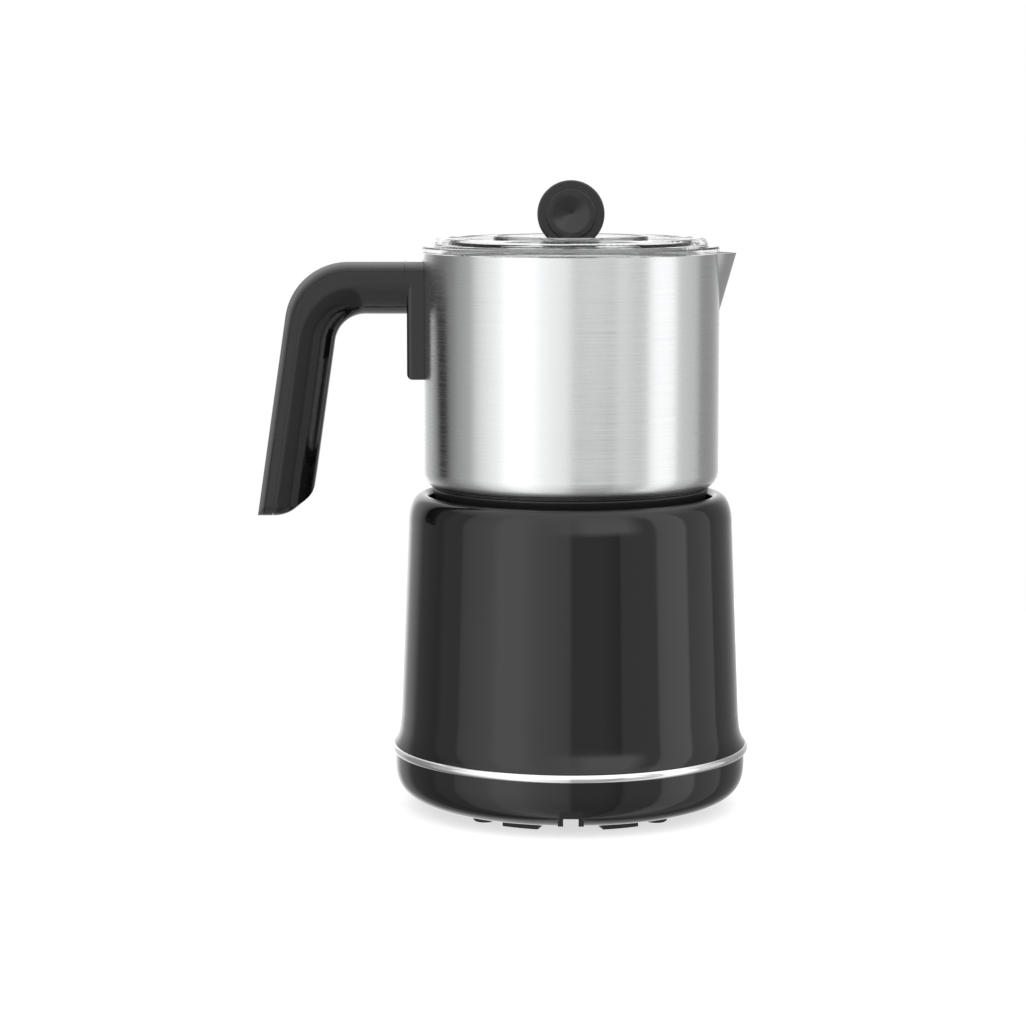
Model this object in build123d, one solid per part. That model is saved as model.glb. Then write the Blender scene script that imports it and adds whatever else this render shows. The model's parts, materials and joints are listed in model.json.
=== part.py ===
from build123d import *

import os
from math import atan2, cos, degrees, pi, radians, sin, sqrt

# Milk frother: an induction base with a lift-off steel jug, a clear lid and a magnetic whisk.
# Millimetres. Origin: the base's axis on the table. +Z up, handle towards -X, spout towards +X,
# cord notch towards -Y, controls towards +Y.

# ---- Driving dimensions ------------------------------------------------------------------

# Base, from the table up
UNDERSIDE = 2.45
SHELL_RADIUS = 67.9
SHELL_WALL = 2.4
SHELL_FLAT_RADIUS = 41.27
SHELL_CURVE_TOP = 20.2
SHELL_SQUARENESS = 3.23
SHELL_TOP = 21.9
TONGUE_INNER = 63.4
TONGUE_OUTER = 65.4
TONGUE_TOP = 29.0
RING_TOP = 25.25
RING_RADIUS = 69.3
HOUSING_BOTTOM = 25.3
HOUSING_WALL = 2.4
HOUSING_FOOT_RADIUS = 68.3
HOUSING_RADIUS_LOW = 65.5
HOUSING_LOW = 37.0
HOUSING_RADIUS_HIGH = 62.54
SHOULDER_LOW = 109.74
SHOULDER_SQUARENESS = 2.29
CREST_RADIUS = 56.57
CREST = 122.3
WELL_RADIUS = 54.4
LEDGE_TOP = 108.0
LEDGE_WALL = 2.1
LEDGE_INNER = 49.0
DECK_TOP = 110.3

# Jug
JUG_RADIUS = 57.0
JUG_WALL = 0.8
JUG_FLOOR = 112.0
JUG_STEP_RADIUS = 48.7
JUG_SHELF = 124.5
JUG_RIM = 214.9
SPOUT_TIP = 63.56
SPOUT_FOOT = 192.0
SPOUT_FLANK_RADIUS = 46.6
SPOUT_FLANK_TURN = 69.2

# Handle, drawn in the XZ plane
HANDLE_WIDTH = 22.4
HANDLE_TOP = 211.74
HANDLE_UNDER = 191.35
HANDLE_FOOT = 114.1
GRIP_OUTER_AT_TOP = -105.9
GRIP_OUTER_AT_FOOT = -120.25
GRIP_INNER_AT_UNDER = -89.06
GRIP_INNER_AT_FOOT = -100.25
GRIP_OUTER_BEND = 24.5
GRIP_INNER_BEND = 11.8
FINGER_SIDE_DEPTH = 13.4
GRIP_EDGE_ROUND = 2.4
HANDLE_WALL = 2.2
ARM_COVER_DEPTH = 6.8
GRIP_COVER_DEPTH = 5.7
TAB_FACE = -62.6
TAB_FOOT = 166.8

# Lid and knob
FLANGE_TOP = 217.4
LID_PLATE_TOP = 219.6
LID_CREST = 220.7
SKIRT_RADIUS = 51.4
SKIRT_FOOT = 205.5
FILLER_RADIUS = 27.2
CAP_RIM = 221.4
CAP_RADIUS = 29.7
CAP_FLOOR = 218.2
KNOB_SEAT = 220.2
KNOB_SEAT_RADIUS = 11.0
KNOB_RADIUS = 12.85
KNOB_CENTRE = 229.69
KNOB_THICKNESS = 9.0

# Controls on the +Y side
DIAL_CENTRE = 68.0
DIAL_PLATE = 66.6
DIAL_RADIUS = 17.2
DIAL_FRONT = 79.0
BUTTON_RADIUS = 9.9

# Fixings
FOOT_RING = 46.2
FOOT_ANGLES = (45, 135, 225, 315)

os.makedirs("parts", exist_ok=True)


# ---- Helpers -------------------------------------------------------------------------------

def outline(*corners):
    """Closed face from (x, y) corners; a third number rounds that corner."""
    points = [corner[:2] for corner in corners]
    radii = [corner[2] if len(corner) == 3 else 0 for corner in corners]
    return make_face(FilletPolyline(*points, radius=radii, close=True))


def turned(*corners):
    """Solid turned about Z from (radius, height) corners."""
    return revolve(Plane.XZ * outline(*corners), Axis.Z)


def turned_about_y(*corners, centre=DIAL_CENTRE):
    """Solid turned about the controls' axis from (radius, y) corners."""
    face = Plane.XY * outline(*corners)
    return Pos(0, 0, centre) * revolve(face, Axis.Y)


def rod(radius, low, high, x=0.0, y=0.0):
    """Upright cylinder from height low to height high."""
    return Pos(x, y, (low + high) / 2) * Cylinder(radius, high - low)


def block(x_span, y_span, z_span):
    """Box from its lowest to its highest x, y and z."""
    size = [high - low for low, high in (x_span, y_span, z_span)]
    middle = [(high + low) / 2 for low, high in (x_span, y_span, z_span)]
    return Pos(*middle) * Box(*size)


def around(radius, angles):
    """Points on a circle about Z, at the given angles in degrees."""
    return [(radius * cos(radians(a)), radius * sin(radians(a))) for a in angles]


def quarter_curve(start, end, squareness, steps=7):
    """Superellipse quarter: leaves start upright, or comes down to it, and meets end level."""
    reach = end[0] - start[0]
    rise = end[1] - start[1]
    turns = [i / steps * pi / 2 for i in range(steps + 1)]
    return [
        (start[0] + reach * (1 - cos(t) ** (2 / squareness)), start[1] + rise * sin(t) ** (2 / squareness))
        for t in turns
    ]


def save(name, *solids):
    """Write one node: a single solid, or a group of separate ones."""
    group = solids[0] if len(solids) == 1 else Compound(children=list(solids))
    export_step(group, f"parts/{name}.step")


# ---- Base casing ---------------------------------------------------------------------------

def housing_wall(height):
    """Outer radius of the housing's straight, tapering wall."""
    share = (height - HOUSING_LOW) / (SHOULDER_LOW - HOUSING_LOW)
    return HOUSING_RADIUS_LOW + share * (HOUSING_RADIUS_HIGH - HOUSING_RADIUS_LOW)


def base_housing():
    """Flared tapering shell that rolls over its crest into the well where the jug stands."""
    flare = Spline(
        (HOUSING_FOOT_RADIUS, HOUSING_BOTTOM), (66.9, 27.9), (66.0, 31.6), (HOUSING_RADIUS_LOW, HOUSING_LOW)
    )
    wall = Line(flare @ 1, (HOUSING_RADIUS_HIGH, SHOULDER_LOW))
    shoulder_foot = (HOUSING_RADIUS_HIGH, SHOULDER_LOW)
    shoulder = Spline(*quarter_curve(shoulder_foot, (CREST_RADIUS, CREST), SHOULDER_SQUARENESS))
    lip = RadiusArc(shoulder @ 1, (WELL_RADIUS, CREST - 2.2), -2.2)
    inner_wall = housing_wall(SHOULDER_LOW) - HOUSING_WALL
    shelf_root = WELL_RADIUS + HOUSING_WALL
    inner_crest = (shelf_root + 0.8, CREST - 2.6)
    ledge = Polyline(
        lip @ 1, (WELL_RADIUS, LEDGE_TOP), (LEDGE_INNER, LEDGE_TOP), (LEDGE_INNER, LEDGE_TOP - LEDGE_WALL),
        (shelf_root, LEDGE_TOP - LEDGE_WALL), (shelf_root, CREST - 3.4), inner_crest,
    )
    shoulder_inside = Spline(
        *reversed(quarter_curve((inner_wall, SHOULDER_LOW), inner_crest, SHOULDER_SQUARENESS, 5))
    )
    foot = Polyline(
        shoulder_inside @ 1, (housing_wall(30.2) - HOUSING_WALL, 30.2), (TONGUE_OUTER + 0.2, 29.4),
        (TONGUE_OUTER + 0.2, HOUSING_BOTTOM), flare @ 0,
    )
    section = make_face(flare + wall + shoulder + lip + ledge + shoulder_inside + foot)
    shell = revolve(Plane.XZ * section, Axis.Z)
    hollow = turned(
        (0, HOUSING_BOTTOM), (TONGUE_OUTER + 0.2, HOUSING_BOTTOM), (TONGUE_OUTER + 0.2, 29.4),
        (housing_wall(30.2) - HOUSING_WALL, 30.2), (inner_wall, SHOULDER_LOW), (inner_wall, 200), (0, 200),
    )
    boss_inside = [(DIAL_RADIUS + 2.0, 50.0), (DIAL_RADIUS + 2.0, DIAL_PLATE - HOUSING_WALL)]
    boss = turned_about_y((0, 50.0), (22.0, 50.0), (22.0, DIAL_PLATE, 1.2), (0, DIAL_PLATE))
    shell += boss - hollow
    shell -= turned_about_y((0, 50.0), *boss_inside, (0, DIAL_PLATE - HOUSING_WALL))
    shell -= turned_about_y((0, 50.0), (4.6, 50.0), (4.6, 80.0), (0, 80.0))
    for x, y in around(FOOT_RING, FOOT_ANGLES):
        post = rod(4.0, 9.5, 58.0, x, y)
        turn = degrees(atan2(y, x))
        rib = Rot(0, 0, turn) * block((FOOT_RING, 68.0), (-0.9, 0.9), (30.5, 58.0))
        shell += post + (rib & hollow)
        shell -= rod(1.5, 9.0, 26.0, x, y)
    for x in (-19.5, 19.5):
        for z in (DIAL_CENTRE - 19.5, DIAL_CENTRE + 19.5):
            peg = Pos(x, 55.0, z) * Rot(90, 0, 0) * Cylinder(2.4, 12.0)
            shell += peg & hollow
    for x, y in around(52.6, (30, 150, 270)):
        shell -= rod(1.3, LEDGE_TOP - LEDGE_WALL - 1.0, LEDGE_TOP - 0.5, x, y)
    return shell


def chrome_ring():
    """Half-round trim band clamped between the bottom shell and the housing."""
    middle = (SHELL_TOP + RING_TOP) / 2
    flat = Polyline(
        (SHELL_RADIUS + 0.1, RING_TOP), (TONGUE_OUTER + 0.2, RING_TOP), (TONGUE_OUTER + 0.2, SHELL_TOP),
        (SHELL_RADIUS + 0.1, SHELL_TOP),
    )
    bulge = ThreePointArc(flat @ 1, (RING_RADIUS, middle), flat @ 0)
    return revolve(Plane.XZ * make_face(flat + bulge), Axis.Z)


def bowl(inset):
    """Solid inside the bottom shell's outline, drawn in by inset."""
    start = (SHELL_RADIUS - inset, SHELL_CURVE_TOP)
    end = (SHELL_FLAT_RADIUS, UNDERSIDE + inset)
    curve = Spline(*quarter_curve(start, end, SHELL_SQUARENESS, 12), tangents=[(0, -1), (-1, 0)])
    rest = Polyline(
        curve @ 1, (0, UNDERSIDE + inset), (0, SHELL_TOP), (SHELL_RADIUS - inset, SHELL_TOP), curve @ 0
    )
    return revolve(Plane.XZ * make_face(curve + rest), Axis.Z)


NOTCH_HALF = 4.35
NOTCH_TOP = 11.0
NOTCH_END = -30.0
GATE_HALF = 2.85
GATE_TOP = 7.5
GATE_FACE = -63.2
GATE_THICKNESS = 2.0
GLAND_CENTRE = 6.85
GLAND_BORE = 3.0
GLAND_HOLE = 3.6
GLAND_RADIUS = 4.1
GLAND_INNER_RADIUS = 3.95
FAN_CENTRE_Y = 7.0
PAD_INNER = 42.4
PAD_OUTER = 48.8
PAD_ANGLES = (14.6, 31.7)


def pad_sector(side, grow, low, high):
    """Arc-shaped block beside the cord notch, grown all round by grow."""
    middle = radians(270 + side * sum(PAD_ANGLES) / 2)
    half = radians(PAD_ANGLES[1] - PAD_ANGLES[0]) / 2 + grow / PAD_OUTER
    inner, outer = PAD_INNER - grow, PAD_OUTER + grow
    ring = rod(outer, low, high) - rod(inner, low - 1, high + 1)
    spread = 80.0
    edges = [(spread * cos(middle + turn), spread * sin(middle + turn)) for turn in (-half, half)]
    wedge = extrude(Pos(0, 0, low) * make_face(Polyline((0, 0), *edges, close=True)), high - low)
    return ring & wedge


def bottom_shell():
    """Rounded pan with grilles, screw bosses, a cord channel and a tongue for the housing."""
    shell = bowl(0) - bowl(SHELL_WALL)
    shell += turned((TONGUE_INNER, 18.6), (66.5, 18.6), (66.5, SHELL_TOP), (TONGUE_OUTER, SHELL_TOP),
                    (TONGUE_OUTER, TONGUE_TOP), (TONGUE_INNER, TONGUE_TOP))
    inside = bowl(SHELL_WALL / 2)
    tunnel = block((-NOTCH_HALF - 2.0, NOTCH_HALF + 2.0), (-66.0, NOTCH_END + 2.4), (3.0, NOTCH_TOP + 2.2))
    shell += tunnel & inside
    for x, y in around(FOOT_RING, FOOT_ANGLES):
        shell += rod(6.2, 3.6, 9.4, x, y)
    for x in (-46.0, 46.0):
        for y in (-20.0, 20.0):
            shell += rod(2.6, 3.6, 29.9, x, y)
    for x in (-20.0, 20.0):
        for y in (-20.0, 20.0):
            shell += rod(2.6, 3.6, 6.0, x, FAN_CENTRE_Y + y)
    channel = extrude(
        Plane.XZ.offset(-NOTCH_END) * outline(
            (-NOTCH_HALF, 0), (NOTCH_HALF, 0), (NOTCH_HALF, NOTCH_TOP, 1.2), (-NOTCH_HALF, NOTCH_TOP, 1.2)
        ), 45.0,
    )
    shell -= channel
    gate = block((-NOTCH_HALF - 0.5, NOTCH_HALF + 0.5), (GATE_FACE, GATE_FACE + GATE_THICKNESS),
                 (4.7, NOTCH_TOP + 0.5))
    gate -= block((-GATE_HALF, GATE_HALF), (-70, -50), (0, GATE_TOP))
    gate -= block((-10, 10), (GATE_FACE - 1, GATE_FACE + 0.5), (7.1, 7.5))
    shell += gate
    shell -= Pos(0, NOTCH_END, GLAND_CENTRE) * Rot(90, 0, 0) * Cylinder(GLAND_HOLE, 12.0)
    flange_room = Cylinder(GLAND_INNER_RADIUS + 0.05, 6.0)
    shell -= Pos(0, NOTCH_END + 2.4 + 3.0, GLAND_CENTRE) * Rot(90, 0, 0) * flange_room
    for side in (-1, 1):
        shell -= pad_sector(side, 0.1, 0.0, 3.4)
    for x, y in around(FOOT_RING, FOOT_ANGLES):
        shell -= rod(4.0, 0, 5.2, x, y) + rod(3.2, 5, 7.4, x, y) + rod(1.7, 7, 12, x, y)
    slots = []
    for turn in range(0, 360, 15):
        slots.append(Pos(0, FAN_CENTRE_Y, 0) * Rot(0, 0, turn) * block((9.0, 22.0), (-1.0, 1.0), (0, 5.6)))
    for middle in (0, 90, 180):
        for turn in range(-24, 25, 6):
            slots.append(Rot(0, 0, middle + turn) * block((33.0, 43.0), (-1.0, 1.0), (0, 5.6)))
    shell -= slots
    return shell


def rubber_feet():
    """Round feet whose stems plug the screw pockets."""
    seat = UNDERSIDE - 0.05
    foot = turned((0, 0), (4.4, 0, 1.5), (4.4, seat), (3.9, seat), (3.9, 5.1), (0, 5.1))
    return [Pos(x, y, 0) * foot for x, y in around(FOOT_RING, FOOT_ANGLES)]


def rear_pads():
    """Two arc-shaped rubber blocks that flank the cord notch."""
    return [pad_sector(side, 0.0, 0.0, 3.3) for side in (-1, 1)]


def base_screws():
    """Pan-head screws under the feet, up into the housing's posts."""
    screw = turned((0, 5.4), (2.9, 5.4, 0.8), (2.9, 7.35), (1.45, 7.35), (1.45, 20.0), (0, 21.2))
    socket = block((-0.5, 0.5), (-2.0, 2.0), (5.0, 6.2)) + block((-2.0, 2.0), (-0.5, 0.5), (5.0, 6.2))
    return [Pos(x, y, 0) * (screw - socket) for x, y in around(FOOT_RING, FOOT_ANGLES)]


def cord_gland():
    """Rubber grommet in the channel's end wall, where the mains cord comes out."""
    front, back = NOTCH_END, NOTCH_END + 2.4
    groove = GLAND_HOLE - 0.05
    body = outline(
        (GLAND_BORE, front - 2.0), (GLAND_RADIUS - 0.3, front - 2.0, 0.4), (GLAND_RADIUS, front - 0.02),
        (groove, front - 0.02), (groove, back + 0.02), (GLAND_INNER_RADIUS, back + 0.02),
        (GLAND_INNER_RADIUS, back + 1.6), (GLAND_BORE, back + 1.6),
    )
    return Pos(0, 0, GLAND_CENTRE) * revolve(body, Axis.Y)


# ---- Inside the base -----------------------------------------------------------------------

COIL_INNER = 24.0
COIL_TURNS = 7
COIL_PITCH = 3.1
FORMER_TOP = 107.9
FORMER_FLOOR = 103.6
FORMER_FOOT = 101.5
MOTOR_RADIUS = 13.8
MOTOR_FOOT = 62.0
MOTOR_TOP = 92.0
MOUNT_TOP = 94.0
SHAFT_RADIUS = 1.5
SENSOR_X = -17.0
MOUNT_ANGLES = (60, 180, 300)


def induction_deck():
    """Heat-resistant plate that closes the well above the coil."""
    edge, underside = WELL_RADIUS - 0.15, LEDGE_TOP + 0.05
    plate = turned((0, underside), (edge, underside), (edge, DECK_TOP, 0.4), (0, DECK_TOP))
    return plate - rod(3.3, 100, 120, SENSOR_X)


def coil_former():
    """Tray that carries the coil, hung from the housing's ledge by three ears."""
    tray = turned((22.0, FORMER_FOOT), (48.6, FORMER_FOOT), (48.6, FORMER_TOP), (47.2, FORMER_TOP),
                  (47.2, FORMER_FLOOR), (23.2, FORMER_FLOOR), (23.2, FORMER_TOP), (22.0, FORMER_TOP))
    underside = LEDGE_TOP - LEDGE_WALL
    for x, y in around(52.0, (30, 150, 270)):
        ear = Rot(0, 0, degrees(atan2(y, x))) * (
            block((47.5, 52.6), (-4.0, 4.0), (FORMER_FOOT, underside - 0.05))
            + rod(4.0, FORMER_FOOT, underside - 0.05, 52.6)
        )
        ear &= rod(WELL_RADIUS + 1.9, 90, 120)
        tray += ear - rod(1.7, 90, 120, x / 52.0 * 52.6, y / 52.0 * 52.6)
    return tray


def former_screws():
    """Screws that hang the coil tray from the housing."""
    screw = turned((0, 99.9), (2.6, 99.9, 0.6), (2.6, FORMER_FOOT - 0.02), (1.25, FORMER_FOOT - 0.02),
                   (1.25, LEDGE_TOP - 0.7), (0, LEDGE_TOP - 0.7))
    return [Pos(x, y, 0) * screw for x, y in around(52.6, (30, 150, 270))]


def induction_coil():
    """Flat coil of litz wire, its turns lying side by side."""
    reach = COIL_TURNS * COIL_PITCH
    crests = []
    for turn in range(COIL_TURNS):
        start = COIL_INNER + turn * COIL_PITCH
        crests.append(ThreePointArc(
            (start, FORMER_FLOOR + 2.6), (start + COIL_PITCH / 2, FORMER_FLOOR + 3.5),
            (start + COIL_PITCH, FORMER_FLOOR + 2.6),
        ))
    rest = Polyline(
        (COIL_INNER + reach, FORMER_FLOOR + 2.6), (COIL_INNER + reach, FORMER_FLOOR + 0.02),
        (COIL_INNER, FORMER_FLOOR + 0.02), (COIL_INNER, FORMER_FLOOR + 2.6),
    )
    section = rest
    for crest in crests:
        section = section + crest
    return revolve(Plane.XZ * make_face(section), Axis.Z)


def ferrite_bars():
    """Bars under the coil that turn its field upwards."""
    bar = block((25.0, 47.0), (-4.0, 4.0), (FORMER_FOOT - 4.0, FORMER_FOOT - 0.02))
    return [Rot(0, 0, turn) * bar for turn in (30, 90, 150, 210, 270, 330)]


def motor_mount():
    """Plate hung below the coil tray on three posts; the motor is screwed under it."""
    plate = rod(27.0, MOTOR_TOP + 0.02, MOUNT_TOP) - rod(5.2, 90, 100)
    for x, y in around(24.4, MOUNT_ANGLES):
        plate += rod(2.3, MOTOR_TOP + 1, FORMER_FOOT - 0.02, x, y)
    for turn in (0, 120, 240):
        plate -= Rot(0, 0, turn) * rod(3.2, 90, 100, 19.0)
    for x in (-8.0, 8.0):
        plate -= rod(1.3, 90, 100, 0, x)
    return plate


def drive_motor():
    """Small brushed motor with two flats and a terminal cap."""
    cap_radius = MOTOR_RADIUS - 1.6
    can = turned(
        (0, MOTOR_FOOT + 2.0), (cap_radius, MOTOR_FOOT + 2.0), (cap_radius, MOTOR_FOOT + 3.5),
        (MOTOR_RADIUS, MOTOR_FOOT + 3.5, 0.6), (MOTOR_RADIUS, MOTOR_TOP, 1.2), (0, MOTOR_TOP),
    )
    for side in (-1, 1):
        can -= block((-20, 20), sorted((side * 11.6, side * 20)), (MOTOR_FOOT + 3.6, MOTOR_TOP + 1))
    can += turned((0, MOTOR_TOP - 1), (3.6, MOTOR_TOP - 1), (3.6, MOTOR_TOP + 1.6, 0.5), (0, MOTOR_TOP + 1.6))
    can += rod(4.0, MOTOR_FOOT, MOTOR_FOOT + 3)
    for x in (-8.0, 8.0):
        can += block((x - 0.3, x + 0.3), (-1.5, 1.5), (MOTOR_FOOT - 3.0, MOTOR_FOOT + 3))
    return can - rod(SHAFT_RADIUS + 0.08, MOTOR_FOOT + 6, 120)


def motor_screws():
    """Two screws through the mount into the motor's end face."""
    low, high = MOUNT_TOP + 0.02, MOUNT_TOP + 1.4
    screw = turned((0, low), (2.0, low), (2.0, high, 0.5), (0, high)) + rod(1.1, MOTOR_TOP + 0.02, high - 0.4)
    return [Pos(0, y, 0) * screw for y in (-8.0, 8.0)]


def drive_rotor():
    """Motor shaft and the carrier whose magnets pull the whisk round through the jug's floor."""
    carrier = turned((0, MOTOR_FOOT + 8), (SHAFT_RADIUS, MOTOR_FOOT + 8), (SHAFT_RADIUS, 95.4), (4.2, 95.4),
                     (4.2, 100.6), (11.4, 100.6, 0.8), (11.4, 104.2), (2.2, 104.2), (2.2, 105.6), (0, 105.6))
    for x, y in around(7.2, (0, 90, 180, 270)):
        carrier -= rod(3.45, 102.2, 110, x, y)
    return carrier


def drive_magnets():
    """Four disc magnets set into the carrier."""
    magnet = turned((0, 102.25), (3.4, 102.25), (3.4, 106.4, 0.3), (0, 106.4))
    return [Pos(x, y, 0) * magnet for x, y in around(7.2, (0, 90, 180, 270))]


def sensor_holder():
    """Cup that guides the sprung temperature sensor."""
    cup = turned(
        (0, MOUNT_TOP + 0.02), (4.7, MOUNT_TOP + 0.02), (4.7, 104.9, 0.4), (3.1, 104.9), (3.1, 103.7),
        (4.35, 103.7), (4.35, 95.4), (0, 95.4),
    )
    return Pos(SENSOR_X, 0, 0) * cup


def temperature_sensor():
    """Metal cap that springs up against the jug's steel floor."""
    cap = turned((0, 102.0), (4.2, 102.0), (4.2, 103.2), (2.8, 103.2), (2.8, JUG_FLOOR - 0.1, 0.6),
                 (0, JUG_FLOOR - 0.1))
    return Pos(SENSOR_X, 0, 0) * cap


def sensor_spring():
    """Compression spring under the sensor."""
    height = 102.0 - 95.4 - 0.7
    coil = Helix(pitch=height / 4.5, height=height, radius=3.2)
    wire = sweep(Plane(origin=coil @ 0, z_dir=coil % 0) * Circle(0.28), path=coil)
    return Pos(SENSOR_X, 0, 95.4 + 0.32) * wire


def fan_frame():
    """Square frame of the cooling fan with a hub plate on four struts."""
    low, high = 6.02, 18.0
    frame = extrude(Pos(0, 0, low) * RectangleRounded(50, 50, 3), high - low) - rod(23.6, 0, 30)
    frame += rod(8.5, high - 1.6, high)
    for turn in (45, 135, 225, 315):
        frame += Rot(0, 0, turn) * block((8.0, 24.5), (-1.2, 1.2), (high - 1.6, high))
    for x in (-20.0, 20.0):
        for y in (-20.0, 20.0):
            frame -= rod(1.6, 0, 30, x, y)
    frame -= rod(1.35, high - 5, high + 1)
    return Pos(0, FAN_CENTRE_Y, 0) * frame


def fan_rotor():
    """Fan hub with seven pitched blades, turning on its pin in the frame."""
    hub = turned((0, 7.0), (8.4, 7.0, 1.0), (8.4, 15.9), (1.25, 15.9), (1.25, 17.6), (0, 17.6))
    blades = []
    for turn in range(7):
        blade = Pos(15.2, 0, 11.4) * Rot(38, 0, 0) * Box(15.2, 9.6, 1.1)
        blades.append(Rot(0, 0, turn * 360 / 7) * blade)
    sweep_room = turned((0, 7.2), (22.8, 7.2), (22.8, 15.7), (0, 15.7))
    rotor = hub
    for blade in blades:
        rotor += blade & sweep_room
    return Pos(0, FAN_CENTRE_Y, 0) * rotor


def power_board():
    """Mains board on four posts of the bottom shell."""
    board = extrude(Pos(0, 0, 30.0) * RectangleRounded(102, 54, 4), 1.6)
    for x in (-46.0, 46.0):
        for y in (-20.0, 20.0):
            board -= rod(1.6, 29, 33, x, y)
    return board


def board_screws():
    """Screws that hold the mains board on its posts."""
    screw = turned((0, 31.65), (2.4, 31.65), (2.4, 33.2, 0.6), (0, 33.2)) + rod(1.4, 30.0, 32.0)
    return [Pos(x, y, 0) * screw for x in (-46.0, 46.0) for y in (-20.0, 20.0)]


def heat_sink():
    """Finned aluminium block for the switching transistor."""
    sink = block((8.0, 40.0), (-22.0, 22.0), (31.65, 36.0))
    for step in range(8):
        y = -22.0 + step * 44.0 / 8.13
        sink += block((8.0, 40.0), (y, y + 1.6), (35.0, 56.0))
    return sink


def filter_choke():
    """Ring choke standing on the mains board."""
    ring = Pos(-16.0, 0, 42.4) * Rot(90, 0, 0) * Torus(7.6, 3.1)
    return ring


def capacitors():
    """Film capacitor blocks and one electrolytic can."""
    blocks = [block((-42.0, -28.0), (y - 5.0, y + 5.0), (31.65, 50.0)) for y in (-16.0, 16.0)]
    can = rod(6.2, 31.65, 55.0, -35.0, 0)
    return blocks + [can]


# ---- Controls on the far side of the base ---------------------------------------------------

BOARD_FACE = 49.0
STEM_END = 54.2


def selector_dial():
    """Fluted cup-shaped knob whose hollow shaft runs back into the encoder."""
    dial = turned_about_y(
        (2.3, 56.0), (4.4, 56.0), (4.4, DIAL_PLATE + 0.4), (DIAL_RADIUS, DIAL_PLATE + 0.4, 0.5),
        (DIAL_RADIUS, DIAL_FRONT, 1.2), (10.2, DIAL_FRONT, 0.4), (10.2, DIAL_FRONT - 8),
        (2.3, DIAL_FRONT - 8),
    )
    flutes = []
    for step in range(30):
        turn = radians(step * 12)
        groove = Cylinder(0.9, 9.4)
        x, z = (DIAL_RADIUS + 0.35) * cos(turn), (DIAL_RADIUS + 0.35) * sin(turn)
        flutes.append(Pos(x, DIAL_PLATE + 5.6, DIAL_CENTRE + z) * Rot(90, 0, 0) * groove)
    mark = block((-0.6, 0.6), (DIAL_FRONT - 0.5, DIAL_FRONT + 1), (DIAL_CENTRE + 11.6, DIAL_CENTRE + 16.0))
    return dial - flutes - mark


def start_button():
    """Button in the middle of the dial, with a long stem through the dial's shaft."""
    return turned_about_y(
        (0, STEM_END), (2.0, STEM_END), (2.0, 75.2), (BUTTON_RADIUS, 75.2), (BUTTON_RADIUS, 79.8, 1.0),
        (8.2, 79.8), (0, 79.4),
    )


def switch_plunger():
    """Small plunger under the stem's end."""
    return turned_about_y((0, 50.9), (1.6, 50.9), (1.6, STEM_END), (0, STEM_END))


def start_switch():
    """Tact switch body on the control board."""
    centre = DIAL_CENTRE
    body = block((-3.1, 3.1), (BOARD_FACE, 52.6), (centre - 3.1, centre + 3.1))
    return body - turned_about_y((0, 49.3), (1.75, 49.3), (1.75, 60.0), (0, 60.0))


def dial_encoder():
    """Square rotary encoder behind the boss's front plate, round the dial's shaft."""
    half = 7.0
    front = DIAL_PLATE - HOUSING_WALL - 0.02
    body = block((-half, half), (56.6, front), (DIAL_CENTRE - half, DIAL_CENTRE + half))
    return body - turned_about_y((0, 50.0), (4.5, 50.0), (4.5, 80.0), (0, 80.0))


def light_ring():
    """Clear ring that glows round the dial."""
    back, front = DIAL_PLATE + 0.02, DIAL_PLATE + 1.2
    return turned_about_y((17.9, back), (19.55, back), (19.55, front, 0.4), (17.9, front, 0.4))


def dial_bezel():
    """Polished ring that caps the edge of the control boss."""
    back, front = DIAL_PLATE + 0.02, DIAL_PLATE + 1.9
    return turned_about_y((19.6, back), (22.0, back), (22.0, front, 0.9), (19.6, front, 0.9))


def control_board():
    """Upright board on the four pegs beside the control boss."""
    side = 46.0
    board = Pos(0, BOARD_FACE - 0.81, DIAL_CENTRE) * Box(side, 1.58, side)
    board = fillet(board.edges().filter_by(Axis.Y), 3.0)
    for x in (-19.5, 19.5):
        for z in (DIAL_CENTRE - 19.5, DIAL_CENTRE + 19.5):
            board -= Pos(x, BOARD_FACE, z) * Rot(90, 0, 0) * Cylinder(1.3, 8.0)
    return board


# ---- Jug -----------------------------------------------------------------------------------

JUG_FOOT_BEND = 3.5
JUG_STEP_BEND = 7.0


def spout_wedge(inset, root, tip_round):
    """Pouring lip: a wedge with bowed flanks that grows out of the jug's wall up to the rim."""
    sections = []
    rise = (SPOUT_TIP - JUG_RADIUS) / (JUG_RIM - SPOUT_FOOT)
    radius = SPOUT_FLANK_RADIUS - inset
    across = SPOUT_FLANK_RADIUS * cos(radians(SPOUT_FLANK_TURN))
    for height in (SPOUT_FOOT, JUG_RIM + 1.0):
        tip_outside = JUG_RADIUS + rise * (height - SPOUT_FOOT)
        centre = tip_outside - SPOUT_FLANK_RADIUS * sin(radians(SPOUT_FLANK_TURN))
        tip = centre + sqrt(radius ** 2 - across ** 2)
        spread = sqrt(radius ** 2 - (root - centre) ** 2) - across
        middle_x = (root + tip) / 2
        middle_y = sqrt(radius ** 2 - (middle_x - centre) ** 2) - across
        flanks = ThreePointArc((root, -spread), (middle_x, -middle_y), (tip, 0))
        flanks += ThreePointArc((tip, 0), (middle_x, middle_y), (root, spread))
        face = make_face(flanks + Line((root, spread), (root, -spread)))
        face = fillet(face.vertices().sort_by(Axis.X)[-1], tip_round)
        sections.append(Pos(0, 0, height) * face)
    return loft(sections)


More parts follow.
